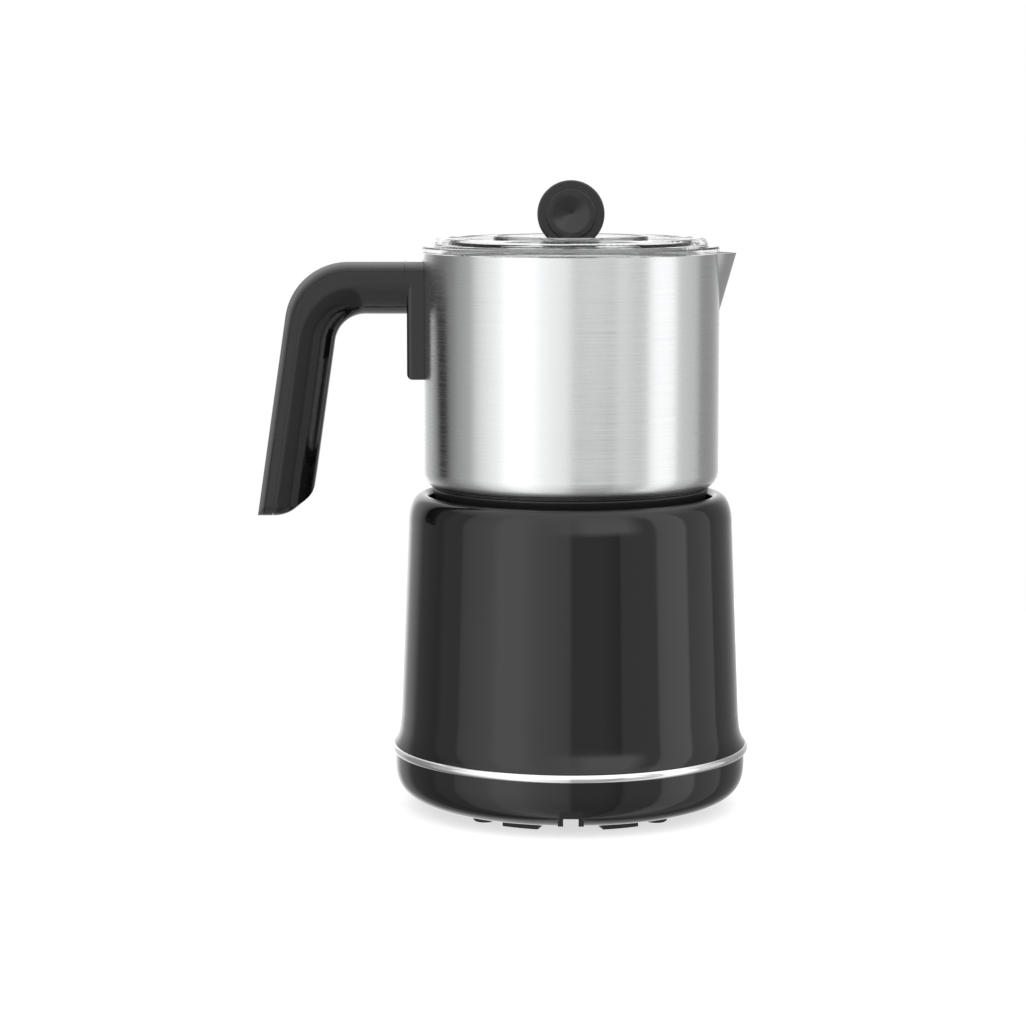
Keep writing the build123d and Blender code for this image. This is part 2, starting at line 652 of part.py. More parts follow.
def jug_profile(grow):
    """Outside of the drawn steel jug as a solid, grown all round by grow."""
    foot = JUG_STEP_RADIUS + grow
    side = JUG_RADIUS + grow
    return turned(
        (0, JUG_FLOOR - grow), (foot, JUG_FLOOR - grow, JUG_FOOT_BEND + grow), (foot, JUG_SHELF - grow, 1.2),
        (side, JUG_SHELF - grow, JUG_STEP_BEND), (side, JUG_RIM), (0, JUG_RIM),
    )


def jug_body():
    """Seamless steel jug, stepped in at the foot, with its pouring lip."""
    solid = jug_profile(0)
    solid += spout_wedge(0, 50.0, 1.5)
    wall = JUG_WALL
    foot = JUG_STEP_RADIUS - wall
    side = JUG_RADIUS - wall
    solid -= turned(
        (0, JUG_FLOOR + wall), (foot, JUG_FLOOR + wall, JUG_FOOT_BEND - wall), (foot, JUG_SHELF + wall, 2.0),
        (side, JUG_SHELF + wall, JUG_STEP_BEND - wall), (side, JUG_RIM + 9), (0, JUG_RIM + 9),
    )
    solid -= spout_wedge(wall, 48.0, 0.7)
    solid -= rod(80, JUG_RIM, JUG_RIM + 10)
    return solid


def whisk_pin():
    """Steel pin welded to the jug's floor; the whisk turns on it."""
    floor = JUG_FLOOR + JUG_WALL
    return turned((0, floor + 0.01), (6.0, floor + 0.01), (6.0, floor + 0.7, 0.3), (2.0, floor + 0.7),
                  (2.0, 125.0, 0.8), (0, 125.0))


def jug_base():
    """Black collar pressed round the jug's foot."""
    collar = turned(
        (46.0, DECK_TOP + 0.05), (51.9, DECK_TOP + 0.05, 1.0), (52.2, 121.0), (53.5, JUG_SHELF + 0.4, 0.5),
        (46.0, JUG_SHELF + 0.4),
    )
    return collar - jug_profile(0.06)


# ---- Handle --------------------------------------------------------------------------------

BAR_END = 104.0
FOOT_FLAT_END = -114.6
FOOT_SWEEP_TOP = (-98.7, 125.5)
FOOT_EDGE_ROUND = 4.2
TAB_TOP = 204.9
TAB_EDGE_ROUND = 2.2
SEAM_X = -63.2
GROOVE_HALF = 0.14
GROOVE_DEPTH = 0.6
BRACKET_THICKNESS = 2.0
BRACKET_LEAF_Z = 195.1
HANDLE_SCREW_XS = (-68.0, -78.0)


def grip_outer(height):
    """X of the grip's outer line."""
    lean = (GRIP_OUTER_AT_TOP - GRIP_OUTER_AT_FOOT) / (HANDLE_TOP - HANDLE_FOOT)
    return GRIP_OUTER_AT_FOOT + lean * (height - HANDLE_FOOT)


def grip_inner(height):
    """X of the grip's inner line, on the fingers' side."""
    lean = (GRIP_INNER_AT_UNDER - GRIP_INNER_AT_FOOT) / (HANDLE_UNDER - HANDLE_FOOT)
    return GRIP_INNER_AT_FOOT + lean * (height - HANDLE_FOOT)


def handle_bar(inset):
    """Arm and grip as one bar, nearly half-round on the fingers' side, drawn in by inset.

    It is rounded at a width at which that side is a true half-circle, then scaled to the real width.
    """
    face = outline(
        (-50, HANDLE_TOP), (GRIP_OUTER_AT_TOP, HANDLE_TOP, GRIP_OUTER_BEND), (grip_outer(BAR_END), BAR_END),
        (grip_inner(BAR_END), BAR_END), (GRIP_INNER_AT_UNDER, HANDLE_UNDER, GRIP_INNER_BEND),
        (-50, HANDLE_UNDER),
    )
    if inset:
        face = offset(face, -inset, kind=Kind.INTERSECTION)
    squeeze = HANDLE_WIDTH / 2 / FINGER_SIDE_DEPTH
    half = (HANDLE_WIDTH / 2 - inset) / squeeze
    bar = extrude(Plane.XZ * face, half, both=True)
    side_edges = [e for e in bar.edges() if abs(abs(e.center().Y) - half) < 0.01]
    fingers = [e for e in side_edges if BAR_END + inset + 1 < e.center().Z < HANDLE_UNDER + inset + 0.1
               and e.center().X > -100]
    bar = fillet(fingers, half - 0.3)
    if not inset:
        side_edges = [e for e in bar.edges() if abs(abs(e.center().Y) - half) < 0.01]
        outside = [e for e in side_edges if e.center().Z > BAR_END + 1
                   and (e.center().Z > HANDLE_TOP - 0.1 or e.center().X < -100)]
        bar = fillet(outside, GRIP_EDGE_ROUND)
    return scale(bar, by=(1, squeeze, 1))


def foot_form():
    """Room the handle is cut to: a flat foot that sweeps up on the fingers' side, its side edges rounded."""
    half = HANDLE_WIDTH / 2
    heel = (FOOT_FLAT_END, HANDLE_FOOT)
    climb = Spline(heel, (-107.2, 116.0), (-102.6, 119.6), FOOT_SWEEP_TOP, tangents=[(1, 0), (0.16, 1)])
    rest = Polyline(FOOT_SWEEP_TOP, (-90.7, 175.5), (-90.7, 230), (-140, 230), (-140, HANDLE_FOOT), heel)
    form = extrude(Plane.XZ * make_face(climb + rest), half, both=True)
    edges = [e for e in form.edges() if abs(abs(e.center().Y) - half) < 0.01
             and e.center().Z < FOOT_SWEEP_TOP[1] and e.center().X > -139]
    return fillet(edges, FOOT_EDGE_ROUND) + block((-99, -40), (-half - 1, half + 1), (140, 230))


def handle_body():
    """Whole outside of the handle: bar, swept foot and the tab that stands on the jug's wall."""
    body = handle_bar(0) & foot_form()
    half = HANDLE_WIDTH / 2
    tab = block((TAB_FACE, -50), (-half, half), (TAB_FOOT, TAB_TOP))
    front = [e for e in tab.edges() if abs(e.center().X - TAB_FACE) < 0.01 and e.center().Z < HANDLE_UNDER]
    return body + fillet(front, TAB_EDGE_ROUND) - rod(JUG_RADIUS + 0.05, 100, 230)


def cover_region(grow):
    """Everything on the cover's side of the handle's seam, grown by grow."""
    slant = (grip_outer(HANDLE_TOP) - grip_outer(HANDLE_FOOT)) / (HANDLE_TOP - HANDLE_FOOT)
    depth = GRIP_COVER_DEPTH * sqrt(1 + slant ** 2)
    arm = HANDLE_TOP - ARM_COVER_DEPTH
    face = outline(
        (SEAM_X, 230), (SEAM_X, arm, 2.0), (grip_outer(arm) + depth, arm, GRIP_OUTER_BEND - ARM_COVER_DEPTH),
        (grip_outer(BAR_END - 5) + depth, BAR_END - 5), (-140, BAR_END - 5), (-140, 230),
    )
    if grow:
        face = offset(face, grow, kind=Kind.INTERSECTION)
    return extrude(Plane.XZ * face, 20, both=True)


def handle_halves():
    """Inner shell with the tab, and the cover that closes it along the back; a fine groove marks the seam."""
    core = handle_bar(GROOVE_DEPTH) & Pos(-GROOVE_DEPTH, 0, GROOVE_DEPTH) * foot_form()
    groove = cover_region(GROOVE_HALF) - cover_region(-GROOVE_HALF) - core
    hollow = handle_bar(HANDLE_WALL) & Pos(-1.6, 0, HANDLE_WALL) * foot_form()
    hollow -= rod(JUG_RADIUS + HANDLE_WALL, 100, 230)
    for x in HANDLE_SCREW_XS:
        hollow -= rod(3.4, HANDLE_UNDER, BRACKET_LEAF_Z - 0.05, x)
    leaf_room = block((TAB_FACE + 2.0, -50), (-8.1, 8.1), (TAB_FOOT + 2.2, BRACKET_LEAF_Z + 4.0))
    skin = handle_body() - hollow - leaf_room - groove
    for x in HANDLE_SCREW_XS:
        skin -= rod(1.4, HANDLE_UNDER + 1.0, BRACKET_LEAF_Z, x)
    return skin - cover_region(0), skin & cover_region(0)


def weld_bracket():
    """Angle spot-welded to the jug; its upper leaf carries the handle's screws."""
    top = BRACKET_LEAF_Z + BRACKET_THICKNESS
    upright = block((TAB_FACE + 2.1, -50), (-8.0, 8.0), (TAB_FOOT + 2.3, top))
    upright -= rod(JUG_RADIUS + 0.02, 100, 230)
    bracket = upright + block((-84.0, TAB_FACE + 3.0), (-4.2, 4.2), (BRACKET_LEAF_Z, top))
    for x in HANDLE_SCREW_XS:
        bracket -= rod(1.7, 180, 210, x)
    return bracket


def handle_screws():
    """Screws down through the bracket's leaf into the inner shell."""
    top = BRACKET_LEAF_Z + BRACKET_THICKNESS + 0.02
    head = turned((0, top), (3.0, top), (3.0, top + 1.8, 0.8), (0, top + 1.8))
    screw = head + rod(1.35, top - 4.6, top + 1)
    return [Pos(x, 0, 0) * screw for x in HANDLE_SCREW_XS]


# ---- Whisk ---------------------------------------------------------------------------------

WHISK_FOOT = 114.3
WHISK_RING = 23.0
WHISK_RING_HEIGHT = 118.6
WHISK_COIL_RADIUS = 3.0
WHISK_WIRE = 0.55
WHISK_TURNS = 36


def whisk_hub():
    """Hub that drops over the jug's pin, with three arms out to the coil ring."""
    hub = turned(
        (0, WHISK_FOOT), (13.4, WHISK_FOOT, 0.8), (13.4, 119.4, 1.4), (5.2, 121.2, 1.5), (4.4, 133.0, 1.8),
        (0, 133.0),
    )
    for turn in (0, 120, 240):
        arm = block((12.0, WHISK_RING), (-0.9, 0.9), (WHISK_RING_HEIGHT - 1.2, WHISK_RING_HEIGHT + 1.2))
        hub += Rot(0, 0, turn) * arm
    hub += Pos(0, 0, WHISK_RING_HEIGHT) * Torus(WHISK_RING, 1.6)
    hub -= rod(2.1, 110, 125.6)
    for x, y in around(7.6, (0, 90, 180, 270)):
        hub -= rod(3.45, 110, 117.4, x, y)
    return hub


def whisk_magnets():
    """Disc magnets pressed into the hub from below."""
    return [rod(3.4, WHISK_FOOT + 0.1, 117.3, x, y) for x, y in around(7.6, (0, 90, 180, 270))]


def whisk_coil():
    """Spring wound round the whisk's ring; it beats the milk to foam."""
    steps = WHISK_TURNS * 8
    points = []
    for step in range(steps):
        turn = 2 * pi * step / steps
        wind = turn * WHISK_TURNS
        reach = WHISK_RING + WHISK_COIL_RADIUS * cos(wind)
        height = WHISK_RING_HEIGHT + WHISK_COIL_RADIUS * sin(wind)
        points.append((reach * cos(turn), reach * sin(turn), height))
    path = Spline(*points[:-2])
    return sweep(Plane(origin=path @ 0, z_dir=path % 0) * Circle(WHISK_WIRE), path=path, is_frenet=True)


# ---- Lid -----------------------------------------------------------------------------------

def lid_shell():
    """Clear lid with a filling hole, a hollow rounded crest and a skirt that reaches into the jug."""
    rest = JUG_RIM + 0.05
    inside = SKIRT_RADIUS - 1.8
    underside = LID_PLATE_TOP - 1.7
    return turned(
        (FILLER_RADIUS, underside), (FILLER_RADIUS, LID_PLATE_TOP), (46.0, LID_PLATE_TOP, 1.2),
        (47.3, LID_CREST, 1.0), (52.4, LID_CREST, 2.4), (52.5, FLANGE_TOP + 0.1, 0.5),
        (JUG_RADIUS, FLANGE_TOP, 0.8), (JUG_RADIUS, rest), (SKIRT_RADIUS, rest),
        (SKIRT_RADIUS, SKIRT_FOOT, 0.6), (inside, SKIRT_FOOT, 0.6), (inside, LID_CREST - 1.4, 1.2),
        (47.7, LID_CREST - 1.4, 0.6), (46.6, underside, 0.6),
    )


def lid_seal():
    """Silicone ring with two fins that wipe the jug's wall."""
    root, tip = SKIRT_RADIUS + 0.03, JUG_RADIUS - JUG_WALL - 0.25
    web = root + 1.6
    return turned(
        (root, 206.6), (web, 206.6, 0.4), (web, 207.6), (tip, 208.8, 0.2), (tip, 209.5, 0.2), (web, 209.0),
        (web, 210.8), (tip, 212.0, 0.2), (tip, 212.7, 0.2), (web, 212.2), (web, 213.2, 0.4), (root, 213.2),
    )


KNOB_WASHER = 0.6
KNOB_EDGE_ROUND = 0.7
INSERT_RADIUS = 9.6
INSERT_SUNK = 1.5
INSERT_PROUD = 0.7
INSERT_CONE_RADIUS = 7.1
INSERT_CONE_DEPTH = 1.3


def filler_cap():
    """Clear shallow dish with a beaded rim that closes the filling hole; the knob stands on its middle."""
    wall = FILLER_RADIUS - 0.6
    rest = LID_PLATE_TOP + 0.05
    seat = KNOB_SEAT - KNOB_WASHER - 0.02
    bead = CAP_RADIUS - 1.6
    return turned(
        (0, CAP_FLOOR - 1.8), (wall - 1.8, CAP_FLOOR - 1.8, 0.5), (wall - 1.8, LID_PLATE_TOP - 4.6),
        (wall, LID_PLATE_TOP - 4.6), (wall, rest), (CAP_RADIUS, rest), (CAP_RADIUS, CAP_RIM, 0.75),
        (bead, CAP_RIM, 0.75), (bead - 0.3, CAP_RIM - 0.9, 0.2), (wall - 0.8, CAP_RIM - 0.9, 0.5),
        (wall - 1.8, CAP_FLOOR, 0.8), (KNOB_SEAT_RADIUS + 0.8, CAP_FLOOR, 0.4), (KNOB_SEAT_RADIUS, seat, 0.2),
        (0, seat),
    ) - rod(1.8, 200, 240) - turned((0, 210), (3.6, 210), (3.6, CAP_FLOOR - 0.6), (0, CAP_FLOOR - 0.6))


def knob_washer():
    """Thin dark plate between the knob and the cap."""
    low, high = KNOB_SEAT - KNOB_WASHER, KNOB_SEAT
    return turned((1.8, low), (KNOB_SEAT_RADIUS, low), (KNOB_SEAT_RADIUS, high, 0.15), (1.8, high))


def knob_disc():
    """Round knob on edge, cut flat where it stands on the cap."""
    half = KNOB_THICKNESS / 2
    disc = Pos(0, 0, KNOB_CENTRE) * Rot(90, 0, 0) * Cylinder(KNOB_RADIUS, KNOB_THICKNESS)
    disc = fillet(disc.edges().filter_by(GeomType.CIRCLE), KNOB_EDGE_ROUND)
    disc -= block((-20, 20), (-20, 20), (200, KNOB_SEAT + 0.02))
    for side in (-1, 1):
        pocket = Cylinder(INSERT_RADIUS + 0.06, 2 * INSERT_SUNK)
        disc -= Pos(0, side * half, KNOB_CENTRE) * Rot(90, 0, 0) * pocket
    return disc - rod(1.5, 215, 227)


def knob_inserts():
    """Discs set into both faces of the knob, each with a shallow cone in its middle."""
    face = INSERT_SUNK + INSERT_PROUD
    insert = turned(
        (0, 0.05), (INSERT_RADIUS, 0.05), (INSERT_RADIUS, face, 0.45), (INSERT_CONE_RADIUS, face),
        (0, face - INSERT_CONE_DEPTH),
    )
    floor = block((-20, 20), (-20, 20), (200, KNOB_SEAT + 0.02))
    depth = KNOB_THICKNESS / 2 - INSERT_SUNK
    return [Pos(0, side * depth, KNOB_CENTRE) * Rot(-90 * side, 0, 0) * insert - floor for side in (-1, 1)]


def knob_screw():
    """Screw from under the cap up into the knob."""
    foot = CAP_FLOOR - 0.6
    return turned(
        (0, foot - 1.6), (3.2, foot - 1.6, 0.6), (3.2, foot - 0.02), (1.45, foot - 0.02), (1.45, 226.0),
        (0, 226.0),
    )


# ---- Parts files ---------------------------------------------------------------------------

handle_inner, handle_outer = handle_halves()

save("bottom_shell", bottom_shell())
save("rubber_feet", *rubber_feet())
save("rear_pads", *rear_pads())
save("base_screws", *base_screws())
save("cord_gland", cord_gland())
save("chrome_ring", chrome_ring())
save("base_housing", base_housing())
save("induction_deck", induction_deck())
save("coil_former", coil_former())
save("former_screws", *former_screws())
save("induction_coil", induction_coil())
save("ferrite_bars", *ferrite_bars())
save("motor_mount", motor_mount())
save("drive_motor", drive_motor())
save("motor_screws", *motor_screws())
save("drive_rotor", drive_rotor())
save("drive_magnets", *drive_magnets())
save("sensor_holder", sensor_holder())
save("temperature_sensor", temperature_sensor())
save("sensor_spring", sensor_spring())
save("fan_frame", fan_frame())
save("fan_rotor", fan_rotor())
save("power_board", power_board())
save("board_screws", *board_screws())
save("heat_sink", heat_sink())
save("filter_choke", filter_choke())
save("capacitors", *capacitors())
save("control_board", control_board())
save("start_switch", start_switch())
save("dial_encoder", dial_encoder())
save("light_ring", light_ring())
save("dial_bezel", dial_bezel())
save("selector_dial", selector_dial())
save("start_button", start_button())
save("switch_plunger", switch_plunger())
save("jug_body", jug_body())
save("whisk_pin", whisk_pin())
save("jug_base", jug_base())
save("handle_inner_shell", handle_inner)
save("handle_cover", handle_outer)
save("weld_bracket", weld_bracket())
save("handle_screws", *handle_screws())
save("whisk_hub", whisk_hub())
save("whisk_magnets", *whisk_magnets())
save("whisk_coil", whisk_coil())
save("lid_shell", lid_shell())
save("lid_seal", lid_seal())
save("filler_cap", filler_cap())
save("knob_washer", knob_washer())
save("knob_disc", knob_disc())
save("knob_inserts", *knob_inserts())
save("knob_screw", knob_screw())
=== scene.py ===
import json
from math import cos, pi, radians, sin

import bpy
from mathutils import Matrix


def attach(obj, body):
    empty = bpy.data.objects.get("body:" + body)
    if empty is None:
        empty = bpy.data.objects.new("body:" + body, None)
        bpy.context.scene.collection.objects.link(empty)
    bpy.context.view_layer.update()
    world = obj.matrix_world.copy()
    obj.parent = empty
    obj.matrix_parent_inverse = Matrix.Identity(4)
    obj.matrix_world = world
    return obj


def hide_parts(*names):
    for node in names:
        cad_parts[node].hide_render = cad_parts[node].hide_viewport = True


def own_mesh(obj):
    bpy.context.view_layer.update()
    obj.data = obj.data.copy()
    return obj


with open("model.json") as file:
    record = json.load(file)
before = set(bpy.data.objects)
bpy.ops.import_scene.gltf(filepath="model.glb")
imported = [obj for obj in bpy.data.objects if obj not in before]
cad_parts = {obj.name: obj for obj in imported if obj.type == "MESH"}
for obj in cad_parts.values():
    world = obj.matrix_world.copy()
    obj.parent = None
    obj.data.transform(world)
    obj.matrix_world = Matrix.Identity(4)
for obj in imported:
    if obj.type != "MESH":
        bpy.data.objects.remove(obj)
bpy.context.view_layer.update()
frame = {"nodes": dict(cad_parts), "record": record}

cad = frame["nodes"]

MM = 0.001


# ---- Node helpers ------------------------------------------------------------------------------

def put(tree, kind, **sockets):
    """A node of the given kind; sockets are plain values or other nodes' outputs.

    _name sets a property, s0 is a socket by number, and two underscores stand for a space.
    """
    node = tree.nodes.new("ShaderNode" + kind)
    for name, value in sockets.items():
        if name.startswith("_"):
            setattr(node, name[1:], value)
            continue
        numbered = name[0] == "s" and name[1:].isdigit()
        key = int(name[1:]) if numbered else name.replace("__", " ")
        wire(tree, node.inputs[key], value)
    return node


def wire(tree, socket, value):
    """Sets a socket to a value or links an output into it."""
    if isinstance(value, bpy.types.NodeSocket):
        tree.links.new(value, socket)
    else:
        socket.default_value = value


def sums(tree, operation, a, b=0.0):
    """Result of one arithmetic step."""
    return put(tree, "Math", _operation=operation, s0=a, s1=b).outputs[0]


def spread(tree, value, low, high, to_low=0.0, to_high=1.0):
    """Value moved from one range to another, held inside it."""
    return put(tree, "MapRange", s0=value, s1=low, s2=high, s3=to_low, s4=to_high).outputs[0]


def blend_colours(tree, share, first, second):
    """Mix of two colours."""
    node = tree.nodes.new("ShaderNodeMix")
    node.data_type = "RGBA"
    wire(tree, node.inputs["Factor"], share)
    wire(tree, node.inputs["A"], first)
    wire(tree, node.inputs["B"], second)
    return node.outputs["Result"]


def new_group(name, inputs, outputs):
    """Empty shader node group with float inputs and outputs; gives the tree and its two ends."""
    tree = bpy.data.node_groups.new(name, "ShaderNodeTree")
    for label, value in inputs.items():
        socket = tree.interface.new_socket(label, in_out="INPUT", socket_type="NodeSocketFloat")
        socket.default_value = value
    for label in outputs:
        tree.interface.new_socket(label, in_out="OUTPUT", socket_type="NodeSocketFloat")
    return tree, tree.nodes.new("NodeGroupInput"), tree.nodes.new("NodeGroupOutput")


def use(tree, group, **values):
    """Places a group in a material with its own values."""
    node = tree.nodes.new("ShaderNodeGroup")
    node.node_tree = group
    for name, value in values.items():
        wire(tree, node.inputs[name.replace("__", " ")], value)
    return node


def object_place(tree):
    """Position on the piece itself, in metres."""
    return put(tree, "TexCoord").outputs["Object"]


def divided(tree, place, x_size, y_size, z_size):
    """Place with each of its three parts divided by a size of its own."""
    parts = put(tree, "SeparateXYZ", s0=place)
    x = sums(tree, "DIVIDE", parts.outputs[0], x_size)
    y = sums(tree, "DIVIDE", parts.outputs[1], y_size)
    z = sums(tree, "DIVIDE", parts.outputs[2], z_size)
    return put(tree, "CombineXYZ", s0=x, s1=y, s2=z).outputs[0]


def cloud(tree, place, detail, **more):
    """Soft cloud of values round a half, one unit of place across."""
    return put(tree, "TexNoise", Vector=place, Scale=1.0, Detail=detail, **more).outputs[0]


def even_cloud(tree, size, detail, **more):
    """Soft cloud on the piece, of one size in every direction."""
    return cloud(tree, divided(tree, object_place(tree), size, size, size), detail, **more)


# ---- Shared surface effects --------------------------------------------------------------------

def make_moulded_skin():
    """Faint waviness of moulded plastic, its grain, and the smears left by handling."""
    tree, start, end = new_group(
        "moulded_skin",
        {"Wave size": 6 * MM, "Grain size": 0.4 * MM, "Smear size": 18 * MM},
        ["Wave", "Grain", "Smear"],
    )
    smear = even_cloud(tree, start.outputs["Smear size"], 4.0, Roughness=0.6, Distortion=0.8)
    no_smear, full_smear = 0.42, 0.72
    wire(tree, end.inputs["Wave"], even_cloud(tree, start.outputs["Wave size"], 1.0))
    wire(tree, end.inputs["Grain"], even_cloud(tree, start.outputs["Grain size"], 2.0))
    wire(tree, end.inputs["Smear"], spread(tree, smear, no_smear, full_smear))
    return tree


def make_edge_wear():
    """Mask of sharp outer edges, broken up as rubbing breaks it up."""
    tree, start, end = new_group(
        "edge_wear", {"Reach": 0.6 * MM, "Patch size": 5 * MM}, ["Worn"]
    )
    soft = put(tree, "Bevel", _samples=4, Radius=start.outputs["Reach"])
    plain = put(tree, "NewGeometry")
    along = put(tree, "VectorMath", _operation="DOT_PRODUCT",
                s0=soft.outputs[0], s1=plain.outputs["Normal"])
    flat, sharp = 0.97, 0.72
    edge = spread(tree, along.outputs["Value"], flat, sharp)
    patch = even_cloud(tree, start.outputs["Patch size"], 3.0)
    kept, painted_highlight = 0.35, 0.65
    broken = spread(tree, patch, kept, painted_highlight)
    wire(tree, end.inputs["Worn"], sums(tree, "MULTIPLY", edge, broken))
    return tree


SCRATCH_TURNS = ((0.4, 0.2, 0.9), (-0.7, 0.5, -0.3))


def make_fine_scratches():
    """Hair scratches in two crossing directions."""
    tree, start, end = new_group(
        "fine_scratches", {"Length": 9 * MM, "Width": 0.12 * MM}, ["Scratch"]
    )
    length, width = start.outputs["Length"], start.outputs["Width"]
    faint, clear = 0.70, 0.78
    masks = []
    for turn in SCRATCH_TURNS:
        turned = put(tree, "VectorRotate", _rotation_type="EULER_XYZ",
                     Vector=object_place(tree), Rotation=turn)
        streak = cloud(tree, divided(tree, turned.outputs[0], length, width, length), 1.0)
        masks.append(spread(tree, streak, faint, clear))
    wire(tree, end.inputs["Scratch"], sums(tree, "MAXIMUM", *masks))
    return tree


def make_round_brushing():
    """Fine lines that run round the upright axis, and broader streaks among them."""
    tree, start, end = new_group(
        "round_brushing", {"Line length": 50 * MM, "Line width": 0.24 * MM}, ["Line", "Streak"]
    )
    length, width = start.outputs["Line length"], start.outputs["Line width"]
    streak_width = sums(tree, "MULTIPLY", width, 2.2)
    line = cloud(tree, divided(tree, object_place(tree), length, length, width),
                 3.0, Roughness=0.65)
    streak = cloud(tree, divided(tree, object_place(tree), length, length, streak_width), 2.0)
    no_streak, full_streak = 0.55, 0.75
    wire(tree, end.inputs["Line"], line)
    wire(tree, end.inputs["Streak"], spread(tree, streak, no_streak, full_streak))
    return tree


moulded_skin = make_moulded_skin()
edge_wear = make_edge_wear()
fine_scratches = make_fine_scratches()
round_brushing = make_round_brushing()


# ---- Materials ---------------------------------------------------------------------------------

# How light bends in moulded plastic, and how far its worn edges and scratches show
PLASTIC_BEND = 1.49
EDGE_SHOWS = 0.6
SCRATCH_SHOWS = 0.12
MARKS_ROUGHEN = 0.18
WORN_TIMES, WORN_PLUS = 1.6, 0.01


def new_material(name, **sockets):
    """Material with one Principled shader; sockets are its constant values."""
    material = bpy.data.materials.new(name)
    material.use_nodes = True
    tree = material.node_tree
    tree.nodes.clear()
    shader = put(tree, "BsdfPrincipled", **sockets)
    put(tree, "OutputMaterial", Surface=shader.outputs[0])
    return material, tree, shader


def find_node(tree, kind):
    """The material's one node of a kind."""
    return next(node for node in tree.nodes if node.type == kind)


def rgb(red, green=None, blue=None):
    """Colour with alpha, grey when one number is given."""
    return (red, red if green is None else green, red if blue is None else blue, 1.0)


def toned(colour, times, plus=0.0):
    """Colour made paler or darker, at most white."""
    return rgb(*(min(1.0, part * times + plus) for part in colour[:3]))


def bump(tree, shader, height, depth):
    """Joins a height to the shader's normal."""
    node = put(tree, "Bump", Strength=1.0, Distance=depth, Height=height)
    wire(tree, shader.inputs["Normal"], node.outputs[0])


def set_roughness(tree, shader, rough, marks, by):
    """Roughness, raised by a share of the marks."""
    raised = sums(tree, "ADD", rough, sums(tree, "MULTIPLY", marks, by))
    wire(tree, shader.inputs["Roughness"], raised)


def plastic(name, colour, roughness, grain=0.0, wave=0.0, smear=0.06):
    """Moulded plastic: skin, grain, handling smears, hair scratches and paler edges."""
    material, tree, shader = new_material(name, IOR=PLASTIC_BEND)
    skin = use(tree, moulded_skin)
    edge = use(tree, edge_wear).outputs["Worn"]
    hair = use(tree, fine_scratches).outputs["Scratch"]
    marks = sums(tree, "MAXIMUM", sums(tree, "MULTIPLY", edge, EDGE_SHOWS),
                 sums(tree, "MULTIPLY", hair, SCRATCH_SHOWS))
    worn = toned(colour, WORN_TIMES, WORN_PLUS)
    wire(tree, shader.inputs["Base Color"], blend_colours(tree, marks, colour, worn))
    rough = spread(tree, skin.outputs["Smear"], 0.0, 1.0, roughness, roughness + smear)
    set_roughness(tree, shader, rough, marks, MARKS_ROUGHEN)
    if grain or wave:
        height = sums(tree, "ADD", sums(tree, "MULTIPLY", skin.outputs["Grain"], grain),
                      sums(tree, "MULTIPLY", skin.outputs["Wave"], wave))
        bump(tree, shader, height, MM)
    return material


# The handle's outer outline, seen from the side: a level top, a round bend, a leaning grip
HANDLE_TOP = 211.74 * MM
GRIP_TOP_X = -105.9 * MM
GRIP_INWARD = (0.98936, -0.14541)
GRIP_BEND = 24.5 * MM

# Painted highlight along that outline: a paler rim, narrow on the grip, wide on the arm, and only
# near its sides
RIM_HEIGHTS = (185 * MM, 205 * MM)
RIM_WIDTHS = (2.5 * MM, 4.0 * MM)
RIM_SIDES = (7 * MM, 10.8 * MM)
RIM_FADE = 1.8

# Fine line moulded at the rim's inner edge: its half width, full and faded out, and its depth
LINE_EDGES = (0.1 * MM, 0.22 * MM)
LINE_DEPTH = 0.25 * MM


def outline_depth(tree):
    """How far a point of the handle lies inside its outer outline, and the point's parts."""
    place = put(tree, "SeparateXYZ", s0=object_place(tree))
    below = sums(tree, "SUBTRACT", HANDLE_TOP, place.outputs[2])
    beside = sums(tree, "SUBTRACT", place.outputs[0], GRIP_TOP_X)
    lean = -GRIP_INWARD[1]
    across = sums(tree, "ADD", sums(tree, "MULTIPLY", beside, GRIP_INWARD[0]),
                  sums(tree, "MULTIPLY", below, lean))
    a = sums(tree, "SUBTRACT", GRIP_BEND, below)
    b = sums(tree, "SUBTRACT", GRIP_BEND, across)
    a, b = (sums(tree, "MAXIMUM", a, sums(tree, "MULTIPLY", b, lean)),
            sums(tree, "MAXIMUM", b, sums(tree, "MULTIPLY", a, lean)))
    squares = sums(tree, "ADD", sums(tree, "MULTIPLY", a, a), sums(tree, "MULTIPLY", b, b))
    product = sums(tree, "MULTIPLY", a, b)
    square = sums(tree, "SUBTRACT", squares, sums(tree, "MULTIPLY", product, 2 * lean))
    reach = sums(tree, "SQRT", sums(tree, "DIVIDE", square, 1 - lean ** 2))
    return sums(tree, "SUBTRACT", GRIP_BEND, reach), place


